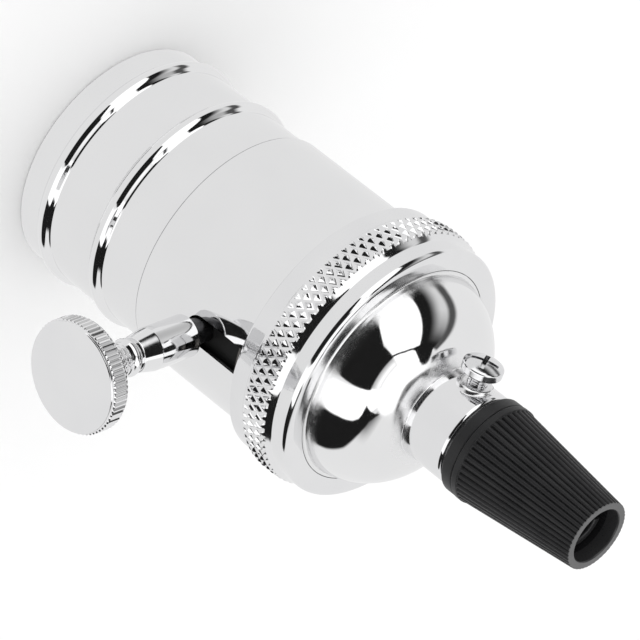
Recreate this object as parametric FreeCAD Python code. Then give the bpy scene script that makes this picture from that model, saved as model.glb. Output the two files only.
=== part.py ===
import FreeCAD, Part
import math, os

os.makedirs("parts", exist_ok=True)

V = FreeCAD.Vector
X = V(1, 0, 0)
Y = V(0, 1, 0)
Z = V(0, 0, 1)

# Lamp holder with a side switch knob, in millimetres.
# Z runs up the holder from the middle of the mouth rim (z = 0) to the cord grip.
# X runs out along the switch spindle. Every level below is a height on Z.

# Clearances
slip = 0.05
seat = 0.02
press = 0.01
turn_gap = 0.2

# Lamp contacts
thread_shell_r = 13.3
thread_shell_wall = 0.35
thread_shell_z0 = 4.0
thread_shell_len = 23.0
thread_len = 18.0
thread_neck_step = 0.7
thread_shell_hole = 7.8
contact_w = 5.0
contact_t = 0.5
contact_drop = 3.0
rivet_r = 0.95
rivet_head_r = 1.8
rivet_head_h = 0.5
rivet_x = -5.0
shell_rivet_x = 1.5
shell_rivet_in = 2.1

# Moulded core
thread_gap = 0.35
core_wall = 3.0
core_gap = 0.2
core_floor_t = 4.0
core_bevel = 0.6
spindle_rise = 8.7
block_over = 7.3
cover_t = 1.5
liner_t = 1.0
bearing_deep = 3.0
leaf_room = 1.2

# Sheet metal shells
sleeve_air = 1.6
sheet = 0.5
upper_sheet = 0.5
rim_hem = 1.2
rim_edge = 0.8
rim_land = 0.4
bead_low = 1.8
bead_high = 1.4
bead_height = 0.8
bead_hollow = 0.35
bead_first = 4.1
bead_pitch = 11.6
seam_z = 26.8
spigot_depth = 5.0
seam_chamfer = 0.2
slot_gap = 0.35

# Knurled clamp ring
ring_bottom = 49.35
ring_grip = 7.65
ring_wall = 1.85
ring_collar_h = 3.05
collar_round = 0.5
knurl_clear = 0.4
knurl_depth = 0.4
knurl_rows = 4
knurl_row_h = 1.3
knurl_count = 84
band_inset = 0.1
band_chamfer = 0.9
chamfer_in = 0.1
band_round = 0.75
lip_rise = 3.8
lip_step = 0.3
lip_hollow = 0.5
lip_edge = 0.1

# Dome
flange_inset = 0.4
flange_w = 1.8
flange_t = 0.8
dome_sheet = 0.8
dome_round = 11.3
dome_wall_h = 4.45
dome_rise = 9.2
dome_fillet = 0.65

# Cord grip
cord_r = 3.2
nipple_wall = 1.75
nipple_stop = 2.1
collar_h = 2.6
collar_over = 0.45
collet_wall = 2.4
collet_thread_len = 7.4
thread_relief = 0.5
jaw_tip_wall = 1.1
jaw_slot = 1.0
jaw_slot_extra = 1.5
jaw_gap = 0.18
nut_cone_len = 11.6
nut_hole_len = 2.2
nut_tip_wall = 1.27
nut_tip_edge = 0.06
nut_over = 0.05
nut_hem = 1.2
rib_count = 46
rib_depth = 0.4

# Neck
neck_wall = 2.65
neck_len = 8.05
neck_edge = 0.45
neck_foot_h = 0.08
neck_bore_extra = 0.8
neck_spigot_wall = 1.5
neck_nut_h = 3.0
neck_nut_wall = 1.0

# Set screw in the neck
screw_turn = -96.0
screw_rise = 4.2
screw_r = 1.5
boss_wall = 1.0
boss_rise = 0.4
boss_foot = 0.7
boss_edge = 0.15
head_over = 1.65
head_side = 0.9
head_crown = 1.45
head_land = 0.9
shank_bare = 1.6
recess_w = 0.8
recess_len = 3.4
recess_deep = 1.2

# Switch parts
spindle_r = 2.0
spindle_flat = 1.4
rotor_r = 4.6
rotor_side = 3.0
detent_x = 2.5
notch_r = 1.6
notch_deep = 0.4
bridge_w = 3.0
bridge_t = 0.5
bridge_over = 1.0
leaf_w = 4.0
leaf_t = 0.5
clip_wall = 1.8
clip_groove = 0.4
clip_t = 0.6
clip_room = 4.0
detent_tab = 2.0

# Terminals
terminal_t = 0.8
terminal_w = 5.6
terminal_edge = 4.4
terminal_screw_in = 3.5
arm_half = 2.0
terminal_screw_r = 1.7
terminal_screw_len = 6.0
terminal_head_r = 3.0
terminal_head_h = 2.0
cover_screw_x = 14.0
cover_screw_r = 1.5
cover_screw_len = 5.5
cover_head_r = 2.7
cover_head_h = 1.6

# Knob
knob_gap = 2.6
knob_sleeve_len = 7.6
knob_sleeve_wall = 1.3
knob_cone_len = 3.1
knob_groove = 0.4
knob_bead_r = 2.9
knob_bead_w = 1.6
knob_stem_r = 2.6
knob_stem_len = 7.0
knob_flare = 0.6
knob_disc_t = 3.2
knob_disc_r = 8.7
knob_teeth = 52
knob_tooth_deep = 0.35
knob_edge = 0.3
knob_bore_len = 8.3

# Radii that follow from the values above
core_bore_r = thread_shell_r + thread_shell_wall + thread_gap
core_skirt_r = core_bore_r + core_wall
sleeve_r = core_skirt_r + sleeve_air + sheet
core_r = sleeve_r - sheet - core_gap
mouth_r = core_skirt_r - rim_land
upper_r = sleeve_r + upper_sheet
ring_bore_r = upper_r + slip
shell_rivet_y = thread_shell_r - thread_neck_step - shell_rivet_in
ring_collar_r = ring_bore_r + ring_wall
knurl_root_r = ring_collar_r + knurl_clear
knurl_r = knurl_root_r + knurl_depth
band_r = ring_collar_r - band_inset
flange_r = upper_r - flange_inset
dome_r = flange_r - flange_w
dome_shoulder_r = dome_r + dome_fillet
ring_mouth_r = dome_shoulder_r + 2 * slip
nipple_r = cord_r + nipple_wall
nipple_bore_r = nipple_r + slip
collet_thread_r = cord_r + collet_wall
jaw_tip_r = cord_r + jaw_tip_wall
nut_hole_r = jaw_tip_r + jaw_gap
nut_tip_r = nut_hole_r + nut_tip_wall
neck_r = nipple_bore_r + neck_wall
neck_foot_r = neck_r + collar_over
neck_bore_r = cord_r + neck_bore_extra
neck_spigot_r = neck_bore_r + neck_spigot_wall
neck_nut_flats = 2 * (neck_spigot_r + neck_nut_wall)
collar_r = neck_r + collar_over
nut_base_r = collar_r + nut_over
boss_r = screw_r + boss_wall
boss_reach = neck_r + boss_rise
head_r = screw_r + head_over
slot_half = spindle_r + slot_gap
clip_r = clip_wall + spindle_r - clip_groove
clip_groove_r = spindle_r - clip_groove
knob_sleeve_r = spindle_r + knob_sleeve_wall

# Levels that follow from the values above
core_floor_z = thread_shell_z0 + thread_shell_len
cavity_floor_z = core_floor_z + core_floor_t
spindle_z = cavity_floor_z + spindle_rise
core_top = spindle_z + block_over
cover_z1 = core_top + cover_t
spigot_top = seam_z + spigot_depth
shell_top = ring_bottom + ring_grip
knurl_h = knurl_rows * knurl_row_h
knurl_z0 = ring_bottom + ring_collar_h
knurl_z1 = knurl_z0 + knurl_h
ring_lip_z = shell_top + flange_t + slip
ring_top = ring_lip_z + lip_rise
dome_foot = shell_top + flange_t + dome_wall_h
dome_top = dome_foot + dome_rise
neck_z0 = dome_top
neck_z1 = neck_z0 + neck_len
screw_z = neck_z0 + screw_rise
nipple_z0 = neck_z0 + nipple_stop
grip_z0 = neck_z1
grip_z1 = grip_z0 + collar_h
thread_top_z = grip_z1 + collet_thread_len
cone_z0 = thread_top_z + thread_relief
cone_z1 = cone_z0 + nut_cone_len
jaw_tip_z = cone_z1 - 2 * thread_relief
nut_z1 = cone_z1 + nut_hole_len

# Places along the spindle and across the switch block
rotor_x0 = rivet_x - rotor_side
rotor_x1 = detent_x + leaf_w / 2 + thread_relief
cavity_x0 = rotor_x0 - bearing_deep + 1.0
cavity_x1 = rotor_x1 + clip_room
cavity_half = rotor_r + turn_gap + leaf_t + leaf_room
terminal_reach = core_r - terminal_edge
terminal_screw_y = terminal_reach - terminal_screw_in
detent_reach = cavity_half + detent_tab
knob_sleeve_x = upper_r + knob_gap
knob_cone_x = knob_sleeve_x + knob_sleeve_len
knob_groove_x = knob_cone_x + knob_cone_len
knob_bead_x0 = knob_groove_x + knob_groove
knob_bead_x1 = knob_bead_x0 + knob_bead_w
knob_back_x = knob_bead_x1 + knob_stem_len
knob_face_x = knob_back_x + knob_disc_t
knob_bore_end = knob_sleeve_x + knob_bore_len
screw_dir = V(math.cos(math.radians(screw_turn)), math.sin(math.radians(screw_turn)), 0)

# Centre of the dome's round in the (r, z) plane
half_run = (dome_r - neck_foot_r) / 2
half_rise = dome_rise / 2
half_chord = math.hypot(half_run, half_rise)
sag = math.sqrt(dome_round ** 2 - half_chord ** 2)
dome_centre_r = neck_foot_r + half_run - sag * half_rise / half_chord
dome_centre_z = dome_foot + half_rise - sag * half_run / half_chord


def outline(points):
    # A point is (r, z); ("via", r, z) bends the edge to the next point through it.
    edges = []
    last = V(points[0][0], 0, points[0][1])
    via = None
    for p in points[1:]:
        if p[0] == "via":
            via = V(p[1], 0, p[2])
            continue
        here = V(p[0], 0, p[1])
        if via is not None:
            edges.append(Part.Arc(last, via, here).toShape())
        elif (here - last).Length > 1e-7:
            edges.append(Part.makeLine(last, here))
        via = None
        last = here
    return edges


def face_of(points):
    return Part.Face(Part.Wire(outline(list(points) + [points[0]])))


def turned(points):
    return face_of(points).revolve(V(0, 0, 0), Z, 360)


def turned_on(points, origin, axis):
    # Points are (r, distance along axis), turned about Z and then laid along the axis.
    body = turned(points)
    body.Placement = FreeCAD.Placement(origin, FreeCAD.Rotation(Z, axis))
    return body


def rod(r, start, axis, length):
    return Part.makeCylinder(r, length, start, axis)


def block(x0, x1, y0, y1, z0, z1):
    return Part.makeBox(x1 - x0, y1 - y0, z1 - z0, V(x0, y0, z0))


def extruded(points, width, mid):
    # Points are (y or x, z) in the XZ plane, pushed both ways along Y about mid.
    face = face_of(points)
    face.translate(V(0, mid - width / 2, 0))
    return face.extrude(V(0, width, 0))


def save(name, shape):
    shape = shape.removeSplitter() if len(shape.Faces) < 400 else shape
    assert shape.isValid(), name
    shape.exportStep("parts/" + name + ".step")
    return shape


def bead_flank(foot, crest, r):
    # A hollow arc at the foot and a round arc up to the crest, tangent where they meet.
    way = 1 if crest > foot else -1
    turn = 2 * math.atan2(bead_height, abs(crest - foot))
    both = abs(crest - foot) / math.sin(turn)
    hollow = bead_hollow * both
    full = both - hollow
    top = r + bead_height - full
    mid = [("via", r + hollow * (1 - math.cos(turn / 2)), foot + way * hollow * math.sin(turn / 2))]
    mid += [(r + hollow * (1 - math.cos(turn)), foot + way * hollow * math.sin(turn))]
    mid += [("via", top + full * math.cos(turn / 2), crest - way * full * math.sin(turn / 2))]
    return [(r, foot)] + mid + [(r + bead_height, crest)]


def bead_points(z0, r):
    crest = z0 + bead_low
    up = bead_flank(z0, crest, r)
    down = bead_flank(crest + bead_high, crest, r)
    return up + [down[3], down[2], down[1], down[0]]


def mouth_sleeve():
    inner = sleeve_r - sheet
    z1 = bead_first
    z2 = bead_first + bead_pitch
    width = bead_low + bead_high
    bend = rim_edge * (1 - math.sqrt(0.5))
    pts = [(mouth_r, 0), (sleeve_r - rim_edge, 0)]
    pts += [("via", sleeve_r - bend, bend), (sleeve_r, rim_edge)]
    pts += bead_points(z1, sleeve_r) + bead_points(z2, sleeve_r)
    pts += [(sleeve_r, spigot_top), (inner, spigot_top)]
    pts += [(inner, z2 + width), ("via", inner + bead_height, z2 + bead_low), (inner, z2)]
    pts += [(inner, z1 + width), ("via", inner + bead_height, z1 + bead_low), (inner, z1)]
    pts += [(inner, rim_hem), (mouth_r, rim_hem)]
    return turned(pts)


def upper_shell():
    pts = [(sleeve_r + press, seam_z), (upper_r - seam_chamfer, seam_z)]
    pts += [(upper_r, seam_z + seam_chamfer), (upper_r, shell_top), (sleeve_r + press, shell_top)]
    shell = turned(pts)
    slot = rod(slot_half, V(0, 0, spindle_z), X, upper_r + 2)
    slot = slot.fuse(block(0, upper_r + 2, -slot_half, slot_half, spindle_z, shell_top + 1))
    return shell.cut(slot)


def knurl_ring(row):
    # Every second point of a row is a crest, and the rows are staggered.
    points = []
    for i in range(2 * knurl_count):
        r = knurl_r if (i + row) % 2 else knurl_root_r
        a = math.pi * i / knurl_count
        points.append(V(r * math.cos(a), r * math.sin(a), knurl_z0 + row * knurl_row_h))
    return points + [points[0]]


def knurl_faces():
    # Each diamond is a four-sided point whose corners lie in the crossed grooves.
    faces = []
    for row in range(knurl_rows):
        low = knurl_ring(row)
        high = knurl_ring(row + 1)
        for i in range(2 * knurl_count):
            a, b, c, d = low[i], low[i + 1], high[i + 1], high[i]
            if (i + row) % 2:
                pair = [(a, b, d), (b, c, d)]
            else:
                pair = [(a, b, c), (a, c, d)]
            faces += [Part.Face(Part.makePolygon(list(t) + [t[0]])) for t in pair]
    return faces


def clamp_ring():
    mouth = ring_mouth_r
    collar = ring_collar_r
    rim = ring_top - lip_step
    edge = band_r - band_round
    bend = band_round * (1 - math.sqrt(0.5))
    foot = knurl_root_r - chamfer_in
    pts = [(foot, knurl_z1), (band_r, knurl_z1 + band_chamfer), (band_r, rim - band_round)]
    pts += [("via", band_r - bend, rim - bend), (edge, rim)]
    pts += [("via", (edge + mouth) / 2, rim + lip_step / 2 - lip_hollow), (mouth + lip_edge, ring_top)]
    pts += [(mouth, ring_top), (mouth, ring_lip_z), (ring_bore_r, ring_lip_z), (ring_bore_r, ring_bottom)]
    pts += [(collar - collar_round, ring_bottom), (collar, ring_bottom + collar_round), (collar, knurl_z0)]
    edges = outline(pts)
    shell = Part.Wire(edges).revolve(V(0, 0, 0), Z, 360)
    faces = list(shell.Faces)
    for row, r in ((0, collar), (knurl_rows, foot)):
        outer = Part.makePolygon(knurl_ring(row))
        inner = Part.Wire(Part.makeCircle(r, V(0, 0, knurl_z0 + row * knurl_row_h), Z))
        faces.append(Part.makeFace([outer, inner], "Part::FaceMakerBullseye"))
    closed = Part.makeShell(faces + knurl_faces())
    closed.sewShape()
    solid = Part.Solid(closed)
    solid.fix(0.001, 0.001, 0.001)
    return solid


def dome_cap():
    cr = dome_centre_r
    cz = dome_centre_z
    ri = dome_round - dome_sheet
    under = dome_top - dome_sheet
    a = (math.asin((dome_foot - cz) / dome_round) + math.asin((dome_top - cz) / dome_round)) / 2
    b = (math.asin((dome_foot - cz) / ri) + math.asin((under - cz) / ri)) / 2
    hole = neck_spigot_r + slip
    inner_foot = cr + math.sqrt(ri ** 2 - (dome_foot - cz) ** 2)
    inner_top = cr + math.sqrt(ri ** 2 - (under - cz) ** 2)
    pts = [(inner_foot, shell_top), (flange_r, shell_top), (flange_r, shell_top + flange_t)]
    hollow = dome_fillet * (1 - math.sqrt(0.5))
    pts += [(dome_shoulder_r, shell_top + flange_t), (dome_shoulder_r, dome_foot - dome_fillet)]
    pts += [("via", dome_r + hollow, dome_foot - dome_fillet + hollow), (dome_r, dome_foot)]
    pts += [("via", cr + dome_round * math.cos(a), cz + dome_round * math.sin(a)), (neck_foot_r, dome_top)]
    pts += [(hole, dome_top), (hole, under), (inner_top, under)]
    pts += [("via", cr + ri * math.cos(b), cz + ri * math.sin(b)), (inner_foot, dome_foot)]
    return turned(pts)


def neck_bush():
    step = nipple_z0 - turn_gap
    low = dome_top - dome_sheet - neck_nut_h - neck_edge
    pts = [(neck_bore_r, low), (neck_spigot_r, low), (neck_spigot_r, neck_z0)]
    foot = neck_z0 + neck_foot_h
    bend = collar_over * (1 - math.sqrt(0.5))
    pts += [(neck_foot_r, neck_z0), (neck_foot_r, foot)]
    pts += [("via", neck_r + bend, foot + bend), (neck_r, foot + collar_over)]
    pts += [(neck_r, neck_z1 - neck_edge), (neck_r - neck_edge, neck_z1)]
    pts += [(nipple_bore_r, neck_z1), (nipple_bore_r, step), (neck_bore_r, step)]
    body = turned(pts)
    base = V(0, 0, screw_z)
    flare = neck_r - 1.5 * boss_foot
    wide = boss_r + boss_foot
    rim = boss_reach - boss_edge
    bend = 0.4
    pts = [(0, flare), (wide, flare), ("via", boss_r + boss_foot * bend, flare + (rim - flare) * bend)]
    pts += [(boss_r, rim), (boss_r - boss_edge, boss_reach), (0, boss_reach)]
    boss = turned_on(pts, base, screw_dir)
    boss = boss.common(Part.makeCylinder(boss_reach + 1, neck_len - 2 * slip, V(0, 0, neck_z0 + slip)))
    boss = boss.cut(rod(nipple_bore_r, V(0, 0, low), Z, neck_z1))
    body = body.fuse(boss)
    return body.cut(rod(screw_r + slip, base, screw_dir, boss_reach + 1))


def neck_nut():
    z1 = dome_top - dome_sheet
    side = neck_nut_flats / math.sqrt(3)
    corners = [V(side * math.cos(math.radians(60 * i)), side * math.sin(math.radians(60 * i)), 0) for i in range(7)]
    hexagon = Part.Face(Part.makePolygon(corners)).extrude(V(0, 0, neck_nut_h))
    hexagon.translate(V(0, 0, z1 - neck_nut_h))
    return hexagon.cut(rod(neck_spigot_r + seat, V(0, 0, z1 - neck_nut_h - 1), Z, neck_nut_h + 2))


def neck_screw():
    under = boss_reach + shank_bare
    edge = under + head_side
    top = edge + head_crown
    tip = nipple_r + seat
    pts = [(0, tip), (screw_r, tip), (screw_r, under), (head_r - boss_edge, under)]
    pts += [(head_r, under + boss_edge), (head_r, edge)]
    pts += [("via", head_r - head_land / 2, edge + 0.7 * head_crown), (head_r - 2 * head_land, top), (0, top)]
    body = turned(pts)
    half = recess_len / 2
    wide = recess_w / 2
    cross = block(-half, half, -wide, wide, top - recess_deep, top + 1)
    cross = cross.fuse(block(-wide, wide, -half, half, top - recess_deep, top + 1))
    body = body.cut(cross)
    body.Placement = FreeCAD.Placement(V(0, 0, screw_z), FreeCAD.Rotation(Z, screw_dir))
    return body


def grip_body():
    low = nipple_z0
    thread_top = thread_top_z
    tip = jaw_tip_z
    pts = [(cord_r, low), (nipple_r, low), (nipple_r, grip_z0), (collar_r - 0.75, grip_z0)]
    pts += [(collar_r - 0.15, grip_z0 + 0.4), (collar_r, grip_z0 + 0.7), (collar_r, grip_z1 - 0.15)]
    pts += [(collar_r - 0.15, grip_z1), (collet_thread_r, grip_z1), (collet_thread_r, thread_top)]
    pts += [(collet_thread_r - 0.3, thread_top), (jaw_tip_r, tip), (cord_r, tip)]
    body = turned(pts)
    half = jaw_slot / 2
    z0 = thread_top - jaw_slot_extra
    wide = 2 * collar_r
    cross = block(-wide, wide, -half, half, z0, tip + 1).fuse(block(-half, half, -wide, wide, z0, tip + 1))
    return body.cut(cross)


def grip_nut():
    hole = nut_hole_r
    bore = collet_thread_r + slip
    top = nut_z1
    base = grip_z1
    ribs_z = base + nut_hem
    pts = [(bore, base), (nut_base_r - 0.15, base), (nut_base_r, base + 0.15)]
    pts += [(nut_base_r, ribs_z), (nut_base_r - 0.1, ribs_z), (nut_tip_r, top - nut_tip_edge)]
    pts += [(nut_tip_r - nut_tip_edge, top)]
    pts += [(hole, top), (hole, cone_z1), (bore, cone_z0)]
    body = turned(pts)
    slope = (nut_base_r - 0.1 - nut_tip_r) / (top - nut_tip_edge - ribs_z)
    grooves = []
    pitch = 2 * math.pi / rib_count
    for i in range(rib_count):
        sides = []
        for z in (ribs_z, top + 0.5):
            r = nut_base_r - 0.1 - slope * (z - ribs_z)
            half = 0.36 * pitch * r
            deep = rib_depth * r / nut_base_r
            out = r + 0.3
            tri = [V(r - deep, 0, z), V(out, half * 1.6, z), V(out, -half * 1.6, z), V(r - deep, 0, z)]
            sides.append(Part.makePolygon(tri))
        groove = Part.makeLoft(sides, True, True)
        groove.rotate(V(0, 0, 0), Z, 360.0 * i / rib_count)
        grooves.append(groove)
    return body.cut(Part.makeCompound(grooves))


def lamp_core():
    # One moulding: a skirt round the thread shell, a floor, and a switch block above it.
    pts = [(core_bore_r, rim_hem), (core_skirt_r, rim_hem), (core_skirt_r, core_floor_z)]
    pts += [(core_r, core_floor_z + core_bevel), (core_r, core_top), (0, core_top), (0, core_floor_z)]
    pts += [(core_bore_r, core_floor_z)]
    body = turned(pts)
    cavity = block(cavity_x0, cavity_x1, -cavity_half, cavity_half, cavity_floor_z, core_top + 1)
    body = body.cut(cavity)
    bearing = rod(spindle_r + slip, V(cavity_x0 - bearing_deep, 0, spindle_z), X, 2 * core_r)
    body = body.cut(bearing)
    tabs = block(detent_x - leaf_w / 2 - slip, detent_x + leaf_w / 2 + slip, -detent_reach - slip,
                 detent_reach + slip, core_top - leaf_t, core_top + 1)
    body = body.cut(tabs)
    for s in (-1, 1):
        hole = rod(terminal_screw_r + slip, V(rivet_x, s * terminal_screw_y, core_top - terminal_screw_len - 0.5),
                   Z, terminal_screw_len + 1)
        body = body.cut(hole)
        hole = rod(cover_screw_r + slip, V(s * cover_screw_x, 0, core_top - cover_screw_len + 1.0), Z,
                   cover_screw_len + 1)
        body = body.cut(hole)
        hole = rod(rivet_r + slip, V(shell_rivet_x, s * shell_rivet_y, core_floor_z - 1), Z,
                   core_top - core_floor_z + 2)
        body = body.cut(hole)
    floor_hole = rod(rivet_r + slip, V(rivet_x, 0, core_floor_z - 1), Z, cavity_floor_z - core_floor_z + 2)
    return body.cut(floor_hole)


def core_cover():
    disc = rod(core_r, V(0, 0, core_top), Z, cover_t)
    half = terminal_w / 2 + turn_gap
    arm = arm_half + turn_gap
    disc = disc.cut(block(rivet_x, shell_rivet_x + arm, shell_rivet_y - arm, shell_rivet_y + arm,
                          core_top - 1, cover_z1 + 1))
    for s in (-1, 1):
        y0 = min(s * (cavity_half - 1.9), s * (terminal_reach + 6))
        y1 = max(s * (cavity_half - 1.9), s * (terminal_reach + 6))
        disc = disc.cut(block(rivet_x - half, rivet_x + half, y0, y1, core_top - 1, cover_z1 + 1))
        disc = disc.cut(rod(cover_screw_r + slip, V(s * cover_screw_x, 0, core_top - 1), Z, cover_t + 2))
    return disc.cut(rod(rivet_head_r + turn_gap, V(shell_rivet_x, -shell_rivet_y, core_top - 1), Z,
                        cover_t + 2))


def insulating_liner():
    pts = [(sleeve_r - liner_t, cover_z1), (sleeve_r - slip, cover_z1)]
    pts += [(sleeve_r - slip, shell_top), (sleeve_r - liner_t, shell_top)]
    return turned(pts)


def screw_at(x, y, z_seat, r, length, hr, hh):
    z0 = z_seat - length
    pts = [(0, z0), (r - 0.3, z0), (r, z0 + 0.3), (r, z_seat), (hr, z_seat), (hr, z_seat + hh * 0.6)]
    pts += [("via", hr * 0.8, z_seat + hh * 0.9), (hr * 0.45, z_seat + hh), (0, z_seat + hh)]
    body = turned(pts)
    body = body.cut(block(-hr - 1, hr + 1, -0.4, 0.4, z_seat + hh * 0.45, z_seat + hh + 1))
    body.translate(V(x, y, 0))
    return body


def cover_screws():
    parts = []
    for s in (-1, 1):
        parts.append(screw_at(s * cover_screw_x, 0, cover_z1, cover_screw_r, cover_screw_len, cover_head_r,
                              cover_head_h))
    return Part.makeCompound(parts)


def terminal_screws():
    parts = []
    for s in (-1, 1):
        parts.append(screw_at(rivet_x, s * terminal_screw_y, core_top + terminal_t, terminal_screw_r,
                              terminal_screw_len, terminal_head_r, terminal_head_h))
    return Part.makeCompound(parts)


def terminal_plate(side):
    y0 = min(side * cavity_half, side * terminal_reach)
    y1 = max(side * cavity_half, side * terminal_reach)
    half = terminal_w / 2
    plate = block(rivet_x - half, rivet_x + half, y0, y1, core_top, core_top + terminal_t)
    hole = rod(terminal_screw_r + slip, V(rivet_x, side * terminal_screw_y, core_top - 1), Z, terminal_t + 2)
    return plate.cut(hole)


def leaf_strip(side, z0, z1):
    # A flat strip standing beside the rotor, clear of it by the turning gap.
    near = side * (rotor_r + turn_gap)
    far = side * (rotor_r + turn_gap + leaf_t)
    return block(rivet_x - leaf_w / 2, rivet_x + leaf_w / 2, min(near, far), max(near, far), z0, z1)


def live_terminal():
    near = rotor_r + turn_gap
    plate = terminal_plate(-1)
    arm = block(rivet_x - leaf_w / 2, rivet_x + leaf_w / 2, -cavity_half, -near, core_top, core_top + terminal_t)
    strip = leaf_strip(-1, spindle_z - rotor_r + 1, core_top + terminal_t)
    return plate.fuse(arm).fuse(strip)


def neutral_terminal():
    # The neutral plate carries an arm to the rivet that holds the thread shell.
    plate = terminal_plate(1)
    arm = block(rivet_x, shell_rivet_x + arm_half, shell_rivet_y - arm_half, shell_rivet_y + arm_half, core_top,
                core_top + terminal_t)
    arm = arm.cut(rod(rivet_r + slip, V(shell_rivet_x, shell_rivet_y, core_top - 1), Z, terminal_t + 2))
    arm = arm.cut(rod(terminal_screw_r + slip, V(rivet_x, terminal_screw_y, core_top - 1), Z, terminal_t + 2))
    return plate.fuse(arm)


def switch_contact():
    foot_z = cavity_floor_z + contact_t
    strip = leaf_strip(1, cavity_floor_z, spindle_z + rotor_r - 1)
    far = rotor_r + turn_gap + leaf_t
    foot = block(rivet_x - leaf_w / 2, rivet_x + leaf_w / 2, -leaf_w / 2, far, cavity_floor_z, foot_z)
    foot = foot.cut(rod(rivet_r + slip, V(rivet_x, 0, cavity_floor_z - 1), Z, contact_t + 2))
    return strip.fuse(foot)


def rivet_between(x, y, z0, z1):
    pts = [(0, z0 - rivet_head_h), (rivet_head_r - 0.2, z0 - rivet_head_h), (rivet_head_r, z0 - 0.2)]
    pts += [(rivet_head_r, z0), (rivet_r, z0), (rivet_r, z1), (rivet_head_r, z1), (rivet_head_r, z1 + 0.2)]
    pts += [(rivet_head_r - 0.3, z1 + rivet_head_h), (0, z1 + rivet_head_h)]
    body = turned(pts)
    body.translate(V(x, y, 0))
    return body


def contact_rivet():
    return rivet_between(rivet_x, 0, core_floor_z - contact_t, cavity_floor_z + contact_t)


def shell_rivets():
    low = core_floor_z - thread_shell_wall
    far = rivet_between(shell_rivet_x, -shell_rivet_y, low, core_top)
    near = rivet_between(shell_rivet_x, shell_rivet_y, low, core_top + terminal_t)
    return Part.makeCompound([far, near])


def centre_contact():
    z1 = core_floor_z
    z0 = z1 - contact_t
    tip = z0 - contact_drop
    start = rivet_x - rivet_head_r - 0.4
    bend = rivet_x + rivet_head_r + 0.4
    pts = [(start, z0), (bend, z0), (1.0, tip), (3.5, tip), (4.2, tip + 0.8), (4.2 - contact_t, tip + 1.1)]
    pts += [(3.2, tip + contact_t), (1.2, tip + contact_t), (bend + 0.2, z1), (start, z1)]
    strip = extruded(pts, contact_w, 0)
    return strip.cut(rod(rivet_r + slip, V(rivet_x, 0, z0 - 1), Z, contact_t + 2))


def thread_shell():
    # The threaded length, then a narrower plain neck down to the floor plate.
    r = thread_shell_r
    n = thread_shell_r - thread_neck_step
    w = thread_shell_wall
    top = core_floor_z
    z1 = thread_shell_z0 + thread_len
    z2 = z1 + thread_neck_step
    pts = [(r, thread_shell_z0), (r + w, thread_shell_z0), (r + w, z1), (n + w, z2), (n + w, top)]
    pts += [(thread_shell_hole, top), (thread_shell_hole, top - w), (n, top - w), (n, z2), (r, z1)]
    body = turned(pts)
    for s in (-1, 1):
        body = body.cut(rod(rivet_r + slip, V(shell_rivet_x, s * shell_rivet_y, top - 1), Z, 2))
    return body


def spindle():
    x0 = cavity_x0 - bearing_deep + turn_gap
    x1 = knob_bore_end - turn_gap
    clip_x = cavity_x1 - clip_t - turn_gap
    pts = [(0, x0), (spindle_r - 0.2, x0), (spindle_r, x0 + 0.2), (spindle_r, clip_x)]
    pts += [(clip_groove_r, clip_x), (clip_groove_r, clip_x + clip_t), (spindle_r, clip_x + clip_t)]
    pts += [(spindle_r, x1 - 0.3), (spindle_r - 0.3, x1), (0, x1)]
    body = turned_on(pts, V(0, 0, spindle_z), X)
    flat = block(rotor_x0, rotor_x1, -5, 5, spindle_z + spindle_flat, spindle_z + 5)
    return body.cut(flat)


def spindle_clip():
    x0 = cavity_x1 - clip_t - turn_gap
    ring = rod(clip_r, V(x0, 0, spindle_z), X, clip_t)
    ring = ring.cut(rod(clip_groove_r, V(x0 - 1, 0, spindle_z), X, clip_t + 2))
    gap = clip_groove_r * 0.8
    return ring.cut(block(x0 - 1, x0 + clip_t + 1, -gap, gap, spindle_z - clip_r - 1, spindle_z))


def bridge_band():
    # A half ring let into the rotor, open over the top.
    x0 = rivet_x - bridge_w / 2
    band = rod(rotor_r, V(x0, 0, spindle_z), X, bridge_w)
    band = band.cut(rod(rotor_r - bridge_t, V(x0 - 1, 0, spindle_z), X, bridge_w + 2))
    top = spindle_z + bridge_over
    return band.cut(block(x0 - 1, x0 + bridge_w + 1, -rotor_r - 1, rotor_r + 1, top, top + rotor_r))


def switch_rotor():
    body = rod(rotor_r, V(rotor_x0, 0, spindle_z), X, rotor_x1 - rotor_x0)
    bore = rod(spindle_r + seat, V(rotor_x0 - 1, 0, spindle_z), X, rotor_x1 - rotor_x0 + 2)
    bore = bore.cut(block(rotor_x0 - 2, rotor_x1 + 2, -5, 5, spindle_z + spindle_flat + seat, spindle_z + 5))
    body = body.cut(bore)
    for i in range(4):
        a = math.radians(90 * i)
        reach = rotor_r + notch_r - notch_deep
        c = V(detent_x - leaf_w / 2, reach * math.cos(a), spindle_z + reach * math.sin(a))
        body = body.cut(rod(notch_r, c, X, leaf_w))
    return body.cut(bridge_band())


def rotor_bridge():
    return bridge_band()


def detent_spring():
    top = core_top
    low = spindle_z + rotor_r + turn_gap
    flat = detent_reach - detent_tab
    pts = [(-detent_reach, top), (-detent_reach, top - leaf_t), (-flat, top - leaf_t)]
    pts += [("via", 0, low), (flat, top - leaf_t), (detent_reach, top - leaf_t), (detent_reach, top)]
    pts += [(flat, top), ("via", 0, low + leaf_t), (-flat, top)]
    leaf = extruded(pts, leaf_w, 0)
    leaf.rotate(V(0, 0, 0), Z, 90)
    leaf.translate(V(detent_x, 0, 0))
    return leaf


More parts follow.
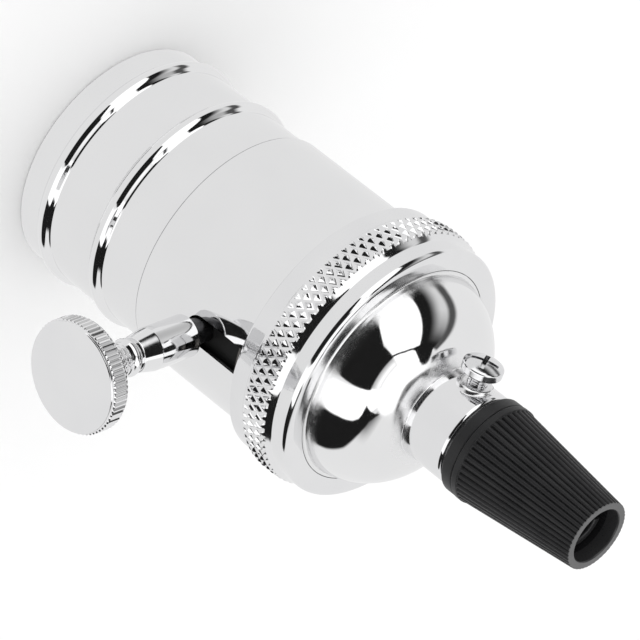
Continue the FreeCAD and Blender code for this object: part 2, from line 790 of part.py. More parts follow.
def knob():
    back = knob_back_x
    r = knob_disc_r
    bore = spindle_r + seat
    neck = knob_sleeve_r - 2 * knob_edge
    waist = neck - knob_edge
    pts = [(bore, knob_sleeve_x), (knob_sleeve_r - 0.2, knob_sleeve_x), (knob_sleeve_r, knob_sleeve_x + 0.3)]
    pts += [(knob_sleeve_r, knob_cone_x), (neck, knob_groove_x), (waist, knob_groove_x), (waist, knob_bead_x0)]
    pts += [("via", knob_bead_r, (knob_bead_x0 + knob_bead_x1) / 2), (knob_stem_r, knob_bead_x1)]
    pts += [("via", knob_stem_r - 0.2, (knob_bead_x1 + back) / 2), (knob_stem_r + knob_flare, back)]
    pts += [(r - knob_edge, back), (r, back + knob_edge), (r, knob_face_x - knob_edge)]
    pts += [(r - knob_edge, knob_face_x), (0, knob_face_x), (0, knob_bore_end), (bore, knob_bore_end)]
    body = turned(pts)
    teeth = []
    pitch = 2 * math.pi / knob_teeth
    for i in range(knob_teeth):
        half = pitch * r * 0.36
        tri = [V(r - knob_tooth_deep, 0, 0), V(r + 0.2, half * 1.5, 0), V(r + 0.2, -half * 1.5, 0),
               V(r - knob_tooth_deep, 0, 0)]
        groove = Part.Face(Part.makePolygon(tri)).extrude(V(0, 0, knob_disc_t + 2))
        groove.translate(V(0, 0, back - 1))
        groove.rotate(V(0, 0, 0), Z, 360.0 * i / knob_teeth)
        teeth.append(groove)
    body = body.cut(Part.makeCompound(teeth))
    body.Placement = FreeCAD.Placement(V(0, 0, spindle_z), FreeCAD.Rotation(Z, X))
    return body


save("mouth_sleeve", mouth_sleeve())
save("upper_shell", upper_shell())
save("clamp_ring", clamp_ring())
save("dome_cap", dome_cap())
save("neck_bush", neck_bush())
save("neck_nut", neck_nut())
save("neck_screw", neck_screw())
save("grip_body", grip_body())
save("grip_nut", grip_nut())
save("lamp_core", lamp_core())
save("core_cover", core_cover())
save("insulating_liner", insulating_liner())
save("cover_screws", cover_screws())
save("terminal_screws", terminal_screws())
save("live_terminal", live_terminal())
save("neutral_terminal", neutral_terminal())
save("switch_contact", switch_contact())
save("contact_rivet", contact_rivet())
save("shell_rivets", shell_rivets())
save("centre_contact", centre_contact())
save("thread_shell", thread_shell())
save("spindle", spindle())
save("spindle_clip", spindle_clip())
save("switch_rotor", switch_rotor())
save("rotor_bridge", rotor_bridge())
save("detent_spring", detent_spring())
save("knob", knob())
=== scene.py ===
import math

import bpy
from mathutils import Matrix, Vector

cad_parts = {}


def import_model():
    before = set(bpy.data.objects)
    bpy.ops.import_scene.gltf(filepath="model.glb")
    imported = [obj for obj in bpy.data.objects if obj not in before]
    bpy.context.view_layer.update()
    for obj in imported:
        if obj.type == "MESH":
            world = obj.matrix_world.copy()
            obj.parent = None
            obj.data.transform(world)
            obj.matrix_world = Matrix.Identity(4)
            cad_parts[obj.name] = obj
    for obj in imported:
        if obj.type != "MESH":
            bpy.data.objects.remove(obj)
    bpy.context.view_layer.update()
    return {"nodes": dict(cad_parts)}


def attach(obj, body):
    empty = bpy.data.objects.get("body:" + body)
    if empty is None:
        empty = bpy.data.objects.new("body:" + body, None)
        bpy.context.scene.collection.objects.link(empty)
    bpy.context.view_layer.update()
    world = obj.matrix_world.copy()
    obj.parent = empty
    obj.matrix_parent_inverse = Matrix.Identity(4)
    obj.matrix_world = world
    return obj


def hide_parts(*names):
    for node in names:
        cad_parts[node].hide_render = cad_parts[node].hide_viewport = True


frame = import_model()
nodes = frame["nodes"]
MM = 0.001

# Sizes in millimetres, the same as the solids have except for the knurls
sleeve_r, upper_r, sheet = 19.1, 19.6, 0.5
mouth_r, hem_top = 16.6, 1.2
bead_feet, bead_crest, bead_length, bead_height = (4.1, 15.7), 1.8, 3.2, 0.8
seam_z, spigot_top, shell_top = 26.8, 31.8, 57.0
spindle_z, slot_half = 39.7, 2.35
ring_bore, ring_bottom, collar_r, band_r = 19.65, 49.35, 21.5, 21.4
ring_top, ring_mouth, ring_lip = 61.65, 18.15, 57.85
knurl_root, knurl_count, chamfer_top = 21.9, 84, 58.4
flange_r, flange_top, dome_wall_r = 19.2, 57.8, 18.05
dome_r, dome_foot, dome_top, dome_round = 17.4, 62.25, 71.45, 11.3
dome_inner_r, dome_hole_r = 16.3, 5.55
neck_r, neck_foot, neck_z1 = 7.65, 8.1, 79.5
screw_z, screw_turn = 75.65, math.radians(-96)
screw_r, boss_r, boss_reach = 1.5, 2.5, 8.05
collar_top, nut_top, rib_count, rib_depth = 82.1, 103.8, 46, 0.4
thread_in, thread_out, thread_pitch = 13.3, 13.65, 3.62
knob_end, knob_r, knob_teeth, tooth_deep = 45.1, 8.7, 68, 0.28


# Profiles and meshes

def rounded(corners, closed=True):
    # Corners are (r, z) or (r, z, round); a round is an arc of that radius, made smaller where a side
    # is too short for it. A corner that is all but straight stays as it is.
    straight, side_share, step_angle = 1.55, 0.48, 0.2
    out = []
    n = len(corners)
    for i, c in enumerate(corners):
        p = Vector(c[:2])
        q = c[2] if len(c) > 2 else 0
        if q == 0 or (not closed and i in (0, n - 1)):
            out.append(p)
            continue
        a = Vector(corners[i - 1][:2]) - p
        b = Vector(corners[(i + 1) % n][:2]) - p
        u, v = a.normalized(), b.normalized()
        half = math.acos(max(-1, min(1, u.dot(v)))) / 2
        if half > straight:
            out.append(p)
            continue
        t = min(q / math.tan(half), side_share * a.length, side_share * b.length)
        q = t * math.tan(half)
        centre = p + (u + v).normalized() * (q / math.sin(half))
        s, e = p + u * t - centre, p + v * t - centre
        a0, a1 = math.atan2(s.y, s.x), math.atan2(e.y, e.x)
        turn = (a1 - a0 + math.pi) % (2 * math.pi) - math.pi
        steps = max(2, int(abs(turn) / step_angle) + 1)
        for k in range(steps + 1):
            w = a0 + turn * k / steps
            out.append(centre + Vector((math.cos(w), math.sin(w))) * q)
    return supported(out, closed)


def supported(points, closed=True, near=0.12):
    # Extra points by each end of a straight run keep its shading flat.
    out = []
    n = len(points)
    for i, p in enumerate(points):
        out.append(p)
        if not closed and i == n - 1:
            break
        q = points[(i + 1) % n]
        run = (q - p).length
        if run > 5 * near:
            out.append(p.lerp(q, near / run))
            out.append(p.lerp(q, 1 - near / run))
    return [(p.x, p.y) for p in out]


def arc(p, via, q, steps):
    # Points on the circle through three points, without the first and the last.
    ax, ay, bx, by, cx, cy = *p, *via, *q
    d = 2 * (ax * (by - cy) + bx * (cy - ay) + cx * (ay - by))
    sa, sb, sc = ax * ax + ay * ay, bx * bx + by * by, cx * cx + cy * cy
    ux = (sa * (by - cy) + sb * (cy - ay) + sc * (ay - by)) / d
    uy = (sa * (cx - bx) + sb * (ax - cx) + sc * (bx - ax)) / d
    r = math.hypot(ax - ux, ay - uy)
    a0, a1, a2 = (math.atan2(y - uy, x - ux) for x, y in (p, via, q))
    turn = (a2 - a0) % (2 * math.pi)
    if (a1 - a0) % (2 * math.pi) > turn:
        turn -= 2 * math.pi
    return [(ux + r * math.cos(a0 + turn * k / steps), uy + r * math.sin(a0 + turn * k / steps))
            for k in range(1, steps)]


def mesh_piece(name, verts, faces, material, body, slot, sharp=38, frame_at=None):
    mesh = bpy.data.meshes.new(name)
    mesh.from_pydata([Vector(v) * MM for v in verts], [], faces)
    mesh.validate()
    if frame_at:
        mesh.transform(frame_at)
    mesh.shade_smooth()
    mesh.set_sharp_from_angle(angle=math.radians(sharp))
    piece = bpy.data.objects.new(name, mesh)
    bpy.context.scene.collection.objects.link(piece)
    piece.data.materials.append(material)
    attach(piece, body)
    return piece


def lathe_mesh(profile, columns, radius=None):
    # A closed outline turned about Z; a point on the axis is a single vertex.
    verts, faces, rings = [], [], []
    for k, (r, z) in enumerate(profile):
        if r < 1e-6:
            rings.append([len(verts)] * columns)
            verts.append((0, 0, z))
            continue
        rings.append(list(range(len(verts), len(verts) + columns)))
        for i in range(columns):
            a = 2 * math.pi * i / columns
            rr = radius(a, r, z, k) if radius else r
            verts.append((rr * math.cos(a), rr * math.sin(a), z))
    for k in range(len(profile)):
        low, high = rings[k], rings[(k + 1) % len(profile)]
        for i in range(columns):
            j = (i + 1) % columns
            quad = [low[i], low[j], high[j], high[i]]
            face = [v for n, v in enumerate(quad) if v not in quad[:n]]
            if len(face) > 2:
                faces.append(face)
    return verts, faces


def outward(profile):
    # The profile runs so that its faces look out of the metal.
    area = sum(a[0] * b[1] - b[0] * a[1] for a, b in zip(profile, profile[1:] + profile[:1]))
    return profile if area > 0 else profile[::-1]


def lathe(name, profile, material, body, slot, columns=192, sharp=38, radius=None, frame_at=None):
    verts, faces = lathe_mesh(outward(profile), columns, radius)
    return mesh_piece(name, verts, faces, material, body, slot, sharp, frame_at)


def paint(piece, material, chosen):
    # The faces chosen by their middle, in metres, get a material of their own.
    piece.data.materials.append(material)
    index = len(piece.data.materials) - 1
    for face in piece.data.polygons:
        if chosen(face.center):
            face.material_index = index


def along(origin, direction):
    # Puts a piece made about Z onto an axis.
    turn = Vector((0, 0, 1)).rotation_difference(Vector(direction)).to_matrix().to_4x4()
    return Matrix.Translation(Vector(origin) * MM) @ turn


# Materials

def new_material(name):
    m = bpy.data.materials.new(name)
    m.use_nodes = True
    nt = m.node_tree
    nt.nodes.clear()
    out = nt.nodes.new("ShaderNodeOutputMaterial")
    bsdf = nt.nodes.new("ShaderNodeBsdfPrincipled")
    nt.links.new(bsdf.outputs[0], out.inputs[0])
    coord = nt.nodes.new("ShaderNodeTexCoord")
    return m, nt, bsdf, coord.outputs["Object"]


def noise(nt, coord, scale, detail=3.0, rough=0.5):
    n = nt.nodes.new("ShaderNodeTexNoise")
    n.inputs["Scale"].default_value = scale
    n.inputs["Detail"].default_value = detail
    n.inputs["Roughness"].default_value = rough
    nt.links.new(coord, n.inputs["Vector"])
    return n.outputs[0]


def spread(nt, value, low, high, start=0.3, end=0.7):
    m = nt.nodes.new("ShaderNodeMapRange")
    m.inputs["From Min"].default_value = start
    m.inputs["From Max"].default_value = end
    m.inputs["To Min"].default_value = low
    m.inputs["To Max"].default_value = high
    nt.links.new(value, m.inputs["Value"])
    return m.outputs[0]


def bump(nt, bsdf, height, strength, distance):
    b = nt.nodes.new("ShaderNodeBump")
    b.inputs["Strength"].default_value = strength
    b.inputs["Distance"].default_value = distance
    nt.links.new(height, b.inputs["Height"])
    nt.links.new(b.outputs[0], bsdf.inputs["Normal"])


def tinted(nt, bsdf, value, dark, light):
    ramp = nt.nodes.new("ShaderNodeValToRGB")
    ramp.color_ramp.elements[0].position = 0.3
    ramp.color_ramp.elements[1].position = 0.7
    ramp.color_ramp.elements[0].color = (*dark, 1)
    ramp.color_ramp.elements[1].color = (*light, 1)
    nt.links.new(value, ramp.inputs[0])
    nt.links.new(ramp.outputs[0], bsdf.inputs["Base Color"])


def metal(name, light, dark, rough, grain=1400, strength=0.03):
    m, nt, bsdf, coord = new_material(name)
    bsdf.inputs["Metallic"].default_value = 1.0
    tinted(nt, bsdf, noise(nt, coord, 90, 2), dark, light)
    fine = noise(nt, coord, grain, 4, 0.6)
    nt.links.new(spread(nt, fine, rough * 0.8, rough * 1.35), bsdf.inputs["Roughness"])
    bump(nt, bsdf, fine, strength, 0.00002)
    return m


def moulded(name, dark, light, rough, grain=5200, strength=0.3, depth=0.00003, specular=0.5):
    m, nt, bsdf, coord = new_material(name)
    bsdf.inputs["Specular IOR Level"].default_value = specular
    tinted(nt, bsdf, noise(nt, coord, 160, 3), dark, light)
    fine = noise(nt, coord, grain, 3, 0.6)
    nt.links.new(spread(nt, fine, rough * 0.85, rough * 1.2), bsdf.inputs["Roughness"])
    bump(nt, bsdf, fine, strength, depth)
    return m


def hazy_crown(name, near, far, low, high, brim, brim_rough=0.17, brim_width=0.35):
    # Polished metal of roughness low, duller (high) about the neck, from the far radius in to the near one,
    # and again from the brim outwards. The radii are in millimetres.
    m = metal(name, (0.87, 0.87, 0.875), (0.85, 0.85, 0.855), 0.045)
    nt = m.node_tree
    coord = nt.nodes.new("ShaderNodeTexCoord")
    flat = nt.nodes.new("ShaderNodeVectorMath")
    flat.operation = "MULTIPLY"
    flat.inputs[1].default_value = (1, 1, 0)
    nt.links.new(coord.outputs["Object"], flat.inputs[0])
    size = nt.nodes.new("ShaderNodeVectorMath")
    size.operation = "LENGTH"
    nt.links.new(flat.outputs[0], size.inputs[0])
    inner = spread(nt, size.outputs["Value"], high, low, near * MM, far * MM)
    outer = spread(nt, size.outputs["Value"], 0.0, brim_rough, brim * MM, (brim + brim_width) * MM)
    total = nt.nodes.new("ShaderNodeMath")
    total.operation = "ADD"
    nt.links.new(inner, total.inputs[0])
    nt.links.new(outer, total.inputs[1])
    fine = noise(nt, coord.outputs["Object"], 1400, 4, 0.6)
    varied = nt.nodes.new("ShaderNodeMath")
    varied.operation = "MULTIPLY"
    nt.links.new(total.outputs[0], varied.inputs[0])
    nt.links.new(spread(nt, fine, 0.8, 1.3), varied.inputs[1])
    bsdf = next(n for n in nt.nodes if n.type == "BSDF_PRINCIPLED")
    nt.links.new(varied.outputs[0], bsdf.inputs["Roughness"])
    return m


dome_chrome = hazy_crown("dome_chrome", near=8.6, far=12.0, low=0.045, high=0.3, brim=16.95)
chrome = metal("polished_chrome", (0.87, 0.87, 0.875), (0.85, 0.85, 0.855), 0.045)
ring_chrome = metal("ring_chrome", (0.86, 0.86, 0.865), (0.82, 0.82, 0.83), 0.07)
turned = metal("turned_chrome", (0.86, 0.86, 0.865), (0.83, 0.83, 0.84), 0.06)
knob_chrome = metal("knob_chrome", (0.87, 0.87, 0.875), (0.84, 0.84, 0.85), 0.06)
screw_metal = metal("screw_chrome", (0.82, 0.82, 0.83), (0.74, 0.74, 0.75), 0.12)
zinc = metal("zinc_steel", (0.62, 0.63, 0.64), (0.5, 0.51, 0.53), 0.3, 900, 0.1)
brass = metal("brass", (0.80, 0.62, 0.33), (0.68, 0.50, 0.25), 0.22, 900, 0.1)
thread_metal = metal("thread_metal", (0.72, 0.70, 0.66), (0.6, 0.58, 0.54), 0.2, 900, 0.1)
dark_steel = metal("dark_steel", (0.13, 0.13, 0.135), (0.08, 0.08, 0.085), 0.32, 900, 0.1)
spring_steel = metal("spring_steel", (0.48, 0.48, 0.5), (0.38, 0.38, 0.4), 0.28, 900, 0.1)
grip_plastic = moulded("grip_plastic", (0.010, 0.010, 0.011), (0.017, 0.017, 0.018), 0.4, specular=0.3)
core_plastic = moulded("core_moulding", (0.008, 0.008, 0.008), (0.014, 0.014, 0.014), 0.45,
                       specular=0.12)
rotor_plastic = moulded("rotor_moulding", (0.05, 0.03, 0.02), (0.08, 0.05, 0.03), 0.4)
fibre = moulded("fibre", (0.09, 0.085, 0.08), (0.15, 0.14, 0.13), 0.8, 2600, 0.5)
liner_paper = moulded("liner_paper", (0.004, 0.004, 0.004), (0.008, 0.008, 0.008), 0.8, 2600, 0.5,
                      specular=0.2)
# Painted shade: a dull grey metal for the tube's bottom edge, standing in for the shadow in the gap at the
# seam
seam_painted_shade = metal("seam_painted_shade", (0.45, 0.45, 0.46), (0.38, 0.38, 0.39), 0.35, 900, 0.1)
# Painted light: a lighter copy of the grip plastic for the nut's end face, which catches more light than
# the ribs
nut_end_painted_light = moulded("nut_end_painted_light", (0.09, 0.09, 0.091), (0.11, 0.11, 0.111), 0.45)
# Painted light: a lighter, glossier copy of the grip plastic for the bore and the jaws' ends, standing in
# for the grey light seen inside the nut's hole
bore_painted_light = moulded("bore_painted_light", (0.028, 0.028, 0.029), (0.038, 0.038, 0.039), 0.3)
boss_metal = metal("boss_metal", (0.84, 0.84, 0.845), (0.8, 0.8, 0.81), 0.2)


# Sheet metal sleeve with its two beads and rolled rim

def flank(foot, crest, r, height, hollow, steep=None, steps=8):
    # A hollow arc at the foot and a round arc up to the crest, tangent where they meet, with a straight
    # run between them where the steepness is given in degrees.
    way = 1 if crest > foot else -1
    run = abs(crest - foot)
    if steep:
        turn = math.radians(steep)
        radii = (run * math.sin(turn) - height * math.cos(turn)) / (1 - math.cos(turn))
    else:
        turn = 2 * math.atan2(height, run)
        radii = run / math.sin(turn)
    full = radii - hollow
    pts = []
    for k in range(steps + 1):
        t = turn * k / steps
        pts.append((r + hollow * (1 - math.cos(t)), foot + way * hollow * math.sin(t)))
    for k in range(0 if steep else 1, 2 * steps + 1):
        t = turn * (1 - k / (2 * steps))
        pts.append((r + height - full * (1 - math.cos(t)), crest - way * full * math.sin(t)))
    return pts


def bead(foot, r):
    # The side by the mouth is round all the way, and the other one is steeper.
    soft_hollow, steep_hollow, steepness = 0.3, 0.44, 47.5
    crest = foot + bead_crest
    up = flank(foot, crest, r, bead_height, soft_hollow)
    down = flank(foot + bead_length, crest, r, bead_height, steep_hollow, steepness)
    return up + down[:-1][::-1]


def sleeve_profile():
    inner = sleeve_r - sheet
    p = [(mouth_r, 0.0, 0.25), (sleeve_r, 0.0, 0.8)]
    for z in bead_feet:
        p += bead(z, sleeve_r)
    p += [(sleeve_r, spigot_top), (inner, spigot_top)]
    for z in bead_feet[::-1]:
        head, crest, foot = (inner, z + bead_length), (inner + bead_height, z + bead_crest), (inner, z)
        p += [head] + arc(head, crest, foot, 20) + [foot]
    p += [(inner, hem_top, 0.3), (mouth_r, hem_top, 0.2)]
    return rounded(p)


sleeve = lathe("sleeve_sheet", sleeve_profile(), chrome, "holder", "shell_chrome", 240)
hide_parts("mouth_sleeve")


# Upper tube with the open slot for the spindle

def slotted_tube():
    # Columns within the slot end at its round foot; the others run the full height.
    half = math.asin(slot_half / upper_r)
    outer, inner, lead = upper_r, sleeve_r + 0.01, 0.3
    edge_width, edge_height = 0.22, 0.22
    beside, within = 232, 24
    cols = [(half + (2 * math.pi - 2 * half) * i / beside, spindle_z) for i in range(beside + 1)]
    for i in range(1, within):
        y = -slot_half * math.cos(math.pi * i / within)
        cols.append((math.asin(y / upper_r), spindle_z - math.sqrt(slot_half ** 2 - y * y)))
    steps = (0.02, 0.15, 0.35, 0.6, 0.85, 1.0)
    above = (40.2, 43, 46, 49, 52, 55, shell_top)
    verts, faces, grid = [], [], []
    for i, (a, foot) in enumerate(cols):
        zs = [seam_z + lead + (foot - seam_z - lead) * t for t in steps]
        zs += above if i <= beside else ()
        sides = []
        for r, edge in ((outer, edge_width), (inner, 0.0)):
            line = [(r - edge, seam_z), (r - edge * 0.3, seam_z + 0.06), (r, seam_z + edge_height)]
            line += [(r, z) for z in zs]
            sides.append(range(len(verts), len(verts) + len(line)))
            verts += [(rr * math.cos(a), rr * math.sin(a), z) for rr, z in line]
        grid.append(sides)
    level = 2 + len(steps)
    count = len(cols)
    for i in range(count):
        c, d = grid[i], grid[(i + 1) % count]
        top = min(len(c[0]), len(d[0])) - 1
        for k in range(top):
            faces.append([c[0][k], d[0][k], d[0][k + 1], c[0][k + 1]])
            faces.append([c[1][k], c[1][k + 1], d[1][k + 1], d[1][k]])
        faces.append([c[0][top], d[0][top], d[1][top], c[1][top]])
        faces.append([d[0][0], c[0][0], c[1][0], d[1][0]])
    for i, flip in ((0, 1), (beside, -1)):
        c = grid[i]
        for k in range(level, len(c[0]) - 1):
            faces.append([c[0][k], c[0][k + 1], c[1][k + 1], c[1][k]][::flip])
    return verts, faces


tube = mesh_piece("slotted_tube", *slotted_tube(), chrome, "holder", "shell_chrome")
# The tube's bottom edge by the seam gets the painted shade of the gap
paint(tube, seam_painted_shade, lambda c: c.z < (seam_z + 0.2) * MM)
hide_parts("upper_shell")


# Knurled ring: crossed grooves leave staggered diamonds, cut off by a chamfer above and below

knurl_base, knurl_rise, knurl_step, knurl_depth = 52.85, 2.9, 16, 0.47
groove_share, point_share = 0.26, 0.6
chamfer_slope, edge_round, edge_z = 0.6, 0.86, 60.76
first_row, last_row = -3, 32
knurl_rows = [knurl_base + knurl_rise / knurl_step * j for j in range(first_row, last_row + 1)]


def ring_profile():
    inside = [(ring_mouth, ring_top - 0.14), (ring_mouth, ring_lip), (ring_bore, ring_lip)]
    collar = [(ring_bore, ring_bottom), (collar_r, ring_bottom, 0.45), (collar_r, knurl_rows[0] - 0.05)]
    low = inside + rounded(collar, False)
    # The band turns over one round, then a straight slope falls gently to the foot of the dome.
    last, steps = math.radians(78), 10
    turn = [last * k / steps for k in range(steps + 1)]
    edge = [(band_r - edge_round * (1 - math.cos(t)), edge_z + edge_round * math.sin(t)) for t in turn]
    r, z = edge[-1]
    slope = [(r - 0.25, z + 0.03), (20.0, z + 0.02), (18.3, z - 0.09)]
    high = [(band_r, knurl_rows[-1])] + edge + slope
    return low, supported([Vector(q) for q in high], False)


def diamond(u, v):
    # 0 on the floor of the grooves, rising to the blunted point of a diamond; 1 would be a sharp point.
    def tri(x):
        return 1 - abs(2 * (x - math.floor(x)) - 1)
    rise = min(tri(u + v), tri(u - v)) - groove_share
    return min(max(0, rise), point_share) / (1 - groove_share)


def knurled_ring():
    # Quads with a groove along their diagonal are split there.
    low, high = ring_profile()
    columns = knurl_count * knurl_step
    verts, faces, rows = [], [], []
    lines = [(r, z, False) for r, z in low] + [(0, z, True) for z in knurl_rows]
    lines += [(r, z, False) for r, z in high]
    for r, z, cut in lines:
        rows.append(len(verts))
        for i in range(columns):
            a = 2 * math.pi * i / columns
            rr = r
            if cut:
                by_collar = collar_r + 0.02 + chamfer_slope * (z - knurl_rows[0])
                by_band = band_r + chamfer_slope * max(0, chamfer_top - z)
                knurl = knurl_root + knurl_depth * diamond(i / knurl_step, (z - knurl_base) / knurl_rise)
                rr = min(knurl, by_collar, by_band)
            verts.append((rr * math.cos(a), rr * math.sin(a), z))
    for n in range(len(lines)):
        m = (n + 1) % len(lines)
        j = n - len(low) + first_row
        in_knurl = lines[n][2] and lines[m][2]
        for i in range(columns):
            k = (i + 1) % columns
            q = [rows[n] + i, rows[n] + k, rows[m] + k, rows[m] + i]
            if in_knurl and (i + j + 1) % knurl_step == 0:
                faces += [[q[0], q[1], q[3]], [q[1], q[2], q[3]]]
            elif in_knurl and (i - j) % knurl_step == 0:
                faces += [[q[0], q[1], q[2]], [q[0], q[2], q[3]]]
            else:
                faces.append(q)
    return verts, faces


ring = mesh_piece("knurled_ring", *knurled_ring(), ring_chrome, "ring", "ring_chrome", 22)
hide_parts("clamp_ring")


# Dome

def dome_profile():
    # The crown is an arc of the dome's radius over the chord from its foot to the neck.
    run, rise = (dome_r - neck_foot) / 2, (dome_top - dome_foot) / 2
    chord = math.hypot(run, rise)
    sag = math.sqrt(dome_round ** 2 - chord ** 2)
    cr, cz = neck_foot + run - sag * rise / chord, dome_foot + rise - sag * run / chord

    def at(r, z):
        k = dome_round / math.hypot(r - cr, z - cz)
        return cr + (r - cr) * k, cz + (z - cz) * k

    mid = at(neck_foot + run * 1.3, dome_foot + rise * 1.4)
    start = at(dome_r - 0.1, dome_foot + 0.45)
    over = arc(start, mid, (neck_foot, dome_top), 40)
    p = [(flange_r, shell_top), (flange_r, flange_top), (dome_wall_r, flange_top), (dome_wall_r, 61.5)]
    # A narrow channel between the ring's mouth and the crown
    p += [(17.75, 61.47), (17.6, 61.52), (17.48, 61.64), (17.44, 61.85), (17.42, 62.2), (17.39, 62.45)]
    p += [start] + over + [(neck_foot, dome_top), (dome_hole_r, dome_top), (dome_hole_r, 70.65)]
    return rounded(p + [(9.0, 70.0), (13.5, 67.0), (dome_inner_r, dome_foot), (dome_inner_r, shell_top)])


dome = lathe("dome_sheet", dome_profile(), dome_chrome, "holder", "shell_chrome", 224)
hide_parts("dome_cap")


# Neck with the screw boss

def neck_profile():
    # A small hollow fillet at the foot, a plain wall, the grip's seat and the spigot in the dome's hole.
    seat_r, bore, spigot_r, seat_z, spigot_end = 5.0, 4.0, 5.5, 73.35, 67.2
    foot, wall = (neck_r + 0.12, dome_top + 0.04), (neck_r, dome_top + 0.2)
    p = [(neck_r + 0.14, dome_top), foot] + arc(foot, (neck_r + 0.035, dome_top + 0.08), wall, 4)
    p += [(neck_r, dome_top + 0.22), (neck_r, neck_z1, 0.5), (seat_r, neck_z1), (seat_r, seat_z)]
    p += [(bore, seat_z), (bore, spigot_end), (spigot_r, spigot_end), (spigot_r, dome_top)]
    return rounded(p)


def boss_mesh():
    # A round boss whose foot flares into the side of the neck.
    verts, faces, rings = [], [], []
    around, flare, steps, hole = 72, 0.6, 8, 1.56
    side = Vector((-math.sin(screw_turn), math.cos(screw_turn), 0))
    out = Vector((math.cos(screw_turn), math.sin(screw_turn), 0))
    turn = [math.pi / 2 * k / steps for k in range(steps + 1)]
    foot = [(boss_r + flare * (1 - math.sin(t)), -flare * math.cos(t)) for t in turn]
    top = [(boss_r, boss_reach - 0.16), (boss_r - 0.05, boss_reach - 0.05), (boss_r - 0.16, boss_reach)]
    top += [(boss_r - 0.5, boss_reach), (hole, boss_reach), (hole, 5.5)]
    for d, lift in foot:
        rings.append(len(verts))
        for i in range(around):
            a = 2 * math.pi * i / around
            w, h = d * math.cos(a), d * math.sin(a)
            y = math.sqrt(max(0, neck_r ** 2 - w * w)) + flare + lift - 0.02
            verts.append(out * y + side * w + Vector((0, 0, screw_z + h)))
    for d, y in top:
        rings.append(len(verts))
        for i in range(around):
            a = 2 * math.pi * i / around
            verts.append(out * y + side * d * math.cos(a) + Vector((0, 0, screw_z + d * math.sin(a))))
    for n, m in zip(rings, rings[1:]):
        for i in range(around):
            j = (i + 1) % around
            faces.append([n + j, n + i, m + i, m + j])
    return verts, faces


neck = lathe("neck_turned", neck_profile(), turned, "holder", "turned_chrome", 160)
boss = mesh_piece("neck_boss", *boss_mesh(), boss_metal, "holder", "turned_chrome")
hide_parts("neck_bush")
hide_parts("neck_bush")


# Set screw: shank, undercut neck and a crowned head with a crossed recess

def screw_profile():
    # The bare length of the shank shows its thread as fine rings.
    tip, under, rim = 4.97, boss_reach + 1.8, boss_reach + 3.2
    pitch, root, head_r = 0.4, 1.3, 3.15
    crown_edge, crown = (2.75, rim + 0.2), (0.5, rim + 0.7)
    p = [(0, tip), (1.25, tip), (screw_r, 5.2), (screw_r, boss_reach - 0.3)]
    for k in range(4):
        y = boss_reach - 0.2 + pitch * k
        p += [(screw_r, y), (root, y + 0.16), (screw_r, y + 0.32)]
    p += [(screw_r, under - 0.15, 0.1), (2.75, under, 0.1), (3.13, under + 0.2, 0.12), (head_r, rim, 0.3)]
    p += [(*crown_edge, 0.15)] + arc(crown_edge, (1.5, rim + 0.58), crown, 10)
    return rounded(p + [crown, (0, rim + 0.7)])


def cross_cut(piece, reach, half, low, high, at):
    # Cuts two slots that cross on the axis of the given frame, between two levels on that axis.
    for x, y in ((reach, half), (half, reach)):
        lo, hi = Vector((-x, -y, low)) * MM, Vector((x, y, high)) * MM
        bpy.ops.mesh.primitive_cube_add(size=1)
        tool = bpy.context.object
        tool.data.transform(at @ Matrix.Translation((lo + hi) / 2) @ Matrix.Diagonal((*(hi - lo), 1)))
        mod = piece.modifiers.new("cut", "BOOLEAN")
        mod.object = tool
        mod.solver = "EXACT"
        bpy.context.view_layer.update()
        done = bpy.data.meshes.new_from_object(piece.evaluated_get(bpy.context.evaluated_depsgraph_get()))
        piece.modifiers.clear()
        piece.data = done
        bpy.data.objects.remove(tool)


screw_frame = along((0, 0, screw_z), (math.cos(screw_turn), math.sin(screw_turn), 0))
screw = lathe("set_screw", screw_profile(), screw_metal, "set_screw", "screw_chrome", 96,
              frame_at=screw_frame)
head_top, recess_turn = boss_reach + 3.9, math.radians(21)
recess_reach, recess_half, recess_deep = 2.1, 0.35, 1.1
recess = screw_frame @ Matrix.Rotation(recess_turn, 4, "Z")
cross_cut(screw, recess_reach, recess_half, head_top - recess_deep, head_top + 1, recess)
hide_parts("neck_screw")


# Cord grip: moulded body with slotted jaws, and the ribbed nut over it

def grip_profile():
    bore, spigot_r, collar, thread_r = 3.2, 4.95, 8.1, 5.6
    spigot_end, thread_end, jaw_end = 73.55, 89.5, 100.6
    p = [(bore, spigot_end), (spigot_r, spigot_end, 0.2), (spigot_r, neck_z1), (7.35, neck_z1)]
    p += [(collar, neck_z1 + 0.7, 0.4), (collar, collar_top, 0.2), (thread_r, collar_top)]
    p += [(thread_r, thread_end), (5.3, thread_end), (4.3, jaw_end, 0.2), (bore, jaw_end, 0.2)]
    return rounded(p)


grip = lathe("grip_moulding", grip_profile(), grip_plastic, "holder", "grip_plastic", 128)
slot_reach, jaw_slot_half, jaw_slot_foot, jaw_slot_end, jaw_shade_z = 8, 0.5, 88, 102, 97
cross_cut(grip, slot_reach, jaw_slot_half, jaw_slot_foot, jaw_slot_end, Matrix.Identity(4))
# The jaws' ends, seen inside the nut's hole, get the painted light
paint(grip, bore_painted_light, lambda c: c.z > jaw_shade_z * MM)
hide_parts("grip_body")


